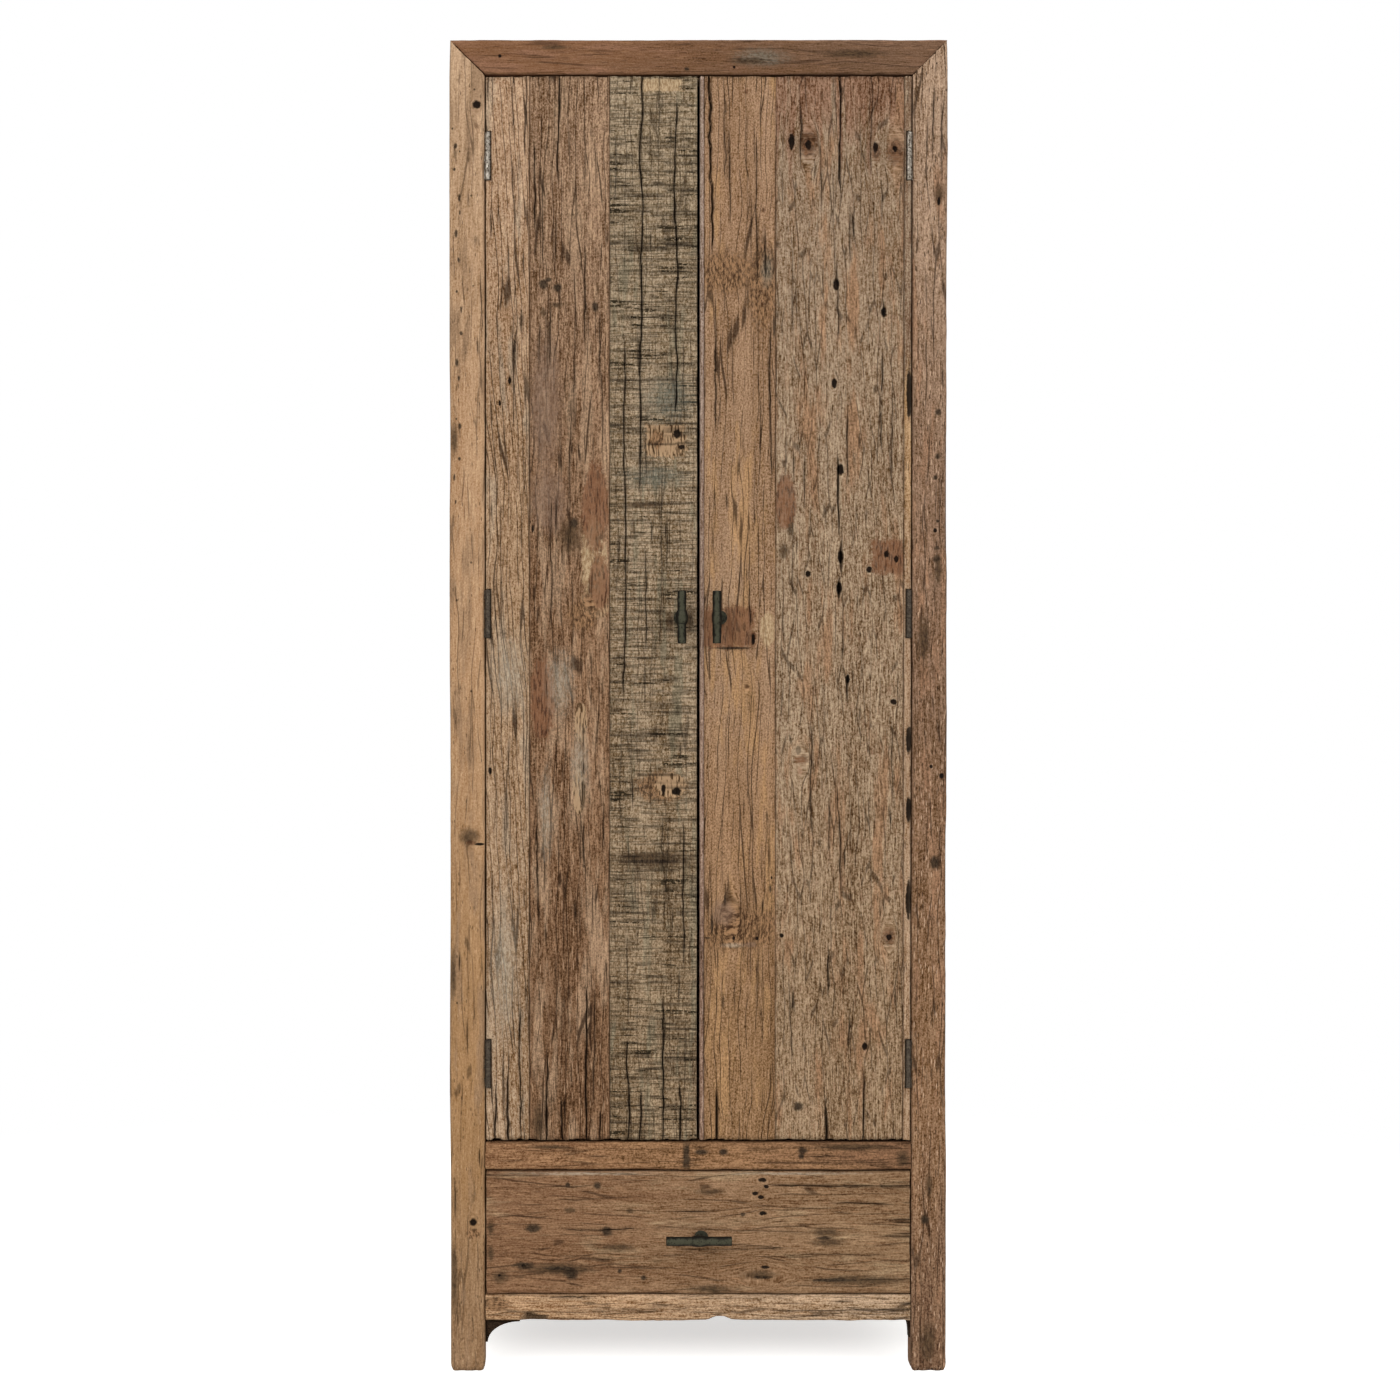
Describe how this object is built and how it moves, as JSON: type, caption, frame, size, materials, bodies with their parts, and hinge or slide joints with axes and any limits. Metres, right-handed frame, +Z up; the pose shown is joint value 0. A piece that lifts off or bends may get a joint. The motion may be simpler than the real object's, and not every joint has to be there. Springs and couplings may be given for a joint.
{
  "type": "armoire",
  "caption": "Tall armoire of reclaimed planks with a mitred front frame, hinged inset doors over an inset drawer, and dark iron T handles.",
  "frame": {"origin": "on the floor, under the middle of the whole piece with its handles", "axes": "+Z up, the front faces -Y, +X to the right seen from the front"},
  "size_m": [0.8, 0.61, 2.14],
  "materials": {
    "tan_plank": "waxed, worn",
    "brown_plank": "waxed, worn",
    "red_brown_rail": "waxed",
    "grey_plank": "weathered",
    "plain_wood": "sanded",
    "worn_steel": "worn",
    "dark_steel": "oxidised",
    "forged_iron": "forged, waxed",
    "catch_plastic": "moulded"
  },
  "bodies": {
    "carcass": {"front_post_left": "tan_plank", "bottom_rail": "tan_plank", "left_side_planks": "tan_plank", "right_side_planks": "tan_plank", "front_post_right": "brown_plank", "back_post_left": "brown_plank", "back_post_right": "brown_plank", "middle_rail": "brown_plank", "left_side_rails": "brown_plank", "right_side_rails": "brown_plank", "back_rails": "brown_plank", "left_foot_bracket": "brown_plank", "right_foot_bracket": "brown_plank", "top_rail": "red_brown_rail", "back_planks": "grey_plank", "top_planks": "grey_plank", "wardrobe_floor": "plain_wood", "hat_shelf": "plain_wood", "shelf_cleats": "plain_wood", "hanging_rail_sockets": "plain_wood", "drawer_runners": "plain_wood", "drawer_guides": "plain_wood", "drawer_stops": "plain_wood", "door_stop": "plain_wood", "left_top_frame_leaf": "worn_steel", "right_top_frame_leaf": "worn_steel", "frame_hinge_screws": "worn_steel", "hanging_rail": "worn_steel", "left_lower_frame_leaves": "dark_steel", "right_lower_frame_leaves": "dark_steel", "left_hinge_pins": "dark_steel", "right_hinge_pins": "dark_steel", "magnetic_catches": "catch_plastic"},
    "left_door": {"left_door_outer_plank": "tan_plank", "left_door_centre_plank": "brown_plank", "left_door_inner_plank": "grey_plank", "left_door_battens": "plain_wood", "left_top_door_leaf": "worn_steel", "left_lower_door_leaves": "dark_steel", "left_door_screws": "worn_steel", "left_handle_bar": "forged_iron", "left_handle_stem": "forged_iron", "left_strike_plate": "worn_steel"},
    "right_door": {"right_door_edge_strip": "tan_plank", "right_door_inner_plank": "tan_plank", "right_door_outer_plank": "grey_plank", "right_door_hinge_strip": "tan_plank", "right_door_battens": "plain_wood", "right_top_door_leaf": "worn_steel", "right_lower_door_leaves": "dark_steel", "right_door_screws": "worn_steel", "right_handle_bar": "forged_iron", "right_handle_stem": "forged_iron", "right_strike_plate": "worn_steel"},
    "drawer": {"drawer_front": "brown_plank", "drawer_sides": "plain_wood", "drawer_back": "plain_wood", "drawer_bottom": "plain_wood", "drawer_handle_bar": "forged_iron", "drawer_handle_stem": "forged_iron"}
  },
  "joints": [
    {"name": "left_door_hinge", "type": "hinge", "parent": "carcass", "child": "left_door", "pos_m": [-0.3381, -0.254, 1.22], "axis": [0, 0, -1], "range_deg": [0, 110]},
    {"name": "right_door_hinge", "type": "hinge", "parent": "carcass", "child": "right_door", "pos_m": [0.3381, -0.254, 1.22], "axis": [0, 0, 1], "range_deg": [0, 110]},
    {"name": "drawer_slide", "type": "slide", "parent": "carcass", "child": "drawer", "axis": [0, -1, 0], "range_m": [0, 0.35]}
  ]
}
